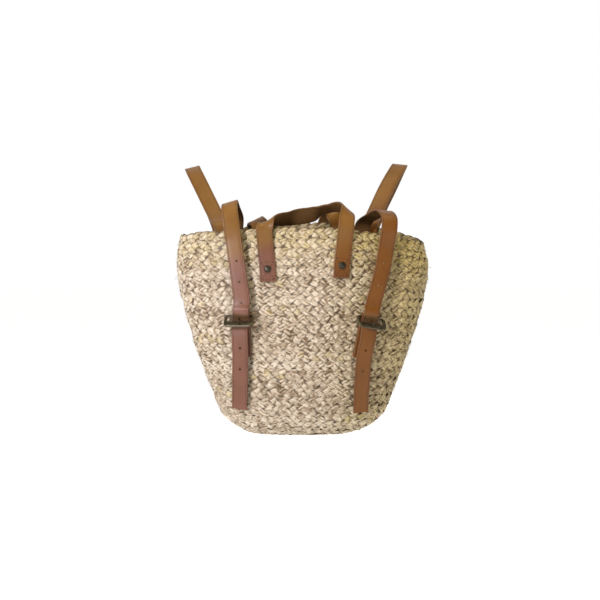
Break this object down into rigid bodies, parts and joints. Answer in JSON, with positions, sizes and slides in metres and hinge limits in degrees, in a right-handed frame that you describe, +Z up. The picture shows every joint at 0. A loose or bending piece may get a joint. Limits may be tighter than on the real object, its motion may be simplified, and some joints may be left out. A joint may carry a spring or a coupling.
{
  "type": "braided straw basket backpack",
  "caption": "Soft hollow basket of braided straw worn on the back, with tan leather shoulder straps, buckled front straps and carrying handles.",
  "frame": {"origin": "midway between the tops of the two shoulder straps, where shoulders carry them", "axes": "+Z up, the buckled front face looks along -Y and the wearer's back is on the +Y side, +X to the right of someone looking at the front face"},
  "size_m": [0.3468, 0.2848, 0.3749],
  "materials": {
    "straw": "three-strand plaits of dry husk straw, sewn edge to edge",
    "leather": "smooth tan leather, stitched along the edges",
    "old_brass": "dark antique brass"
  },
  "bodies": {
    "root": {"basket": "straw", "front_handle": "leather", "back_handle": "leather", "front_handle_rivet_left": "old_brass", "front_handle_rivet_right": "old_brass", "back_handle_rivet_left": "old_brass", "back_handle_rivet_right": "old_brass", "front_strap_left": "leather", "front_strap_right": "leather", "buckle_frame_left": "old_brass", "buckle_frame_right": "old_brass", "buckle_prong_left": "old_brass", "buckle_prong_right": "old_brass", "buckle_tab_left": "leather", "buckle_tab_right": "leather", "buckle_tab_rivet_left": "old_brass", "buckle_tab_rivet_right": "old_brass", "shoulder_strap_left": "leather", "shoulder_strap_right": "leather", "strap_top_rivet_left": "old_brass", "strap_top_rivet_right": "old_brass", "strap_foot_rivet_left": "old_brass", "strap_foot_rivet_right": "old_brass"}
  },
  "joints": []
}
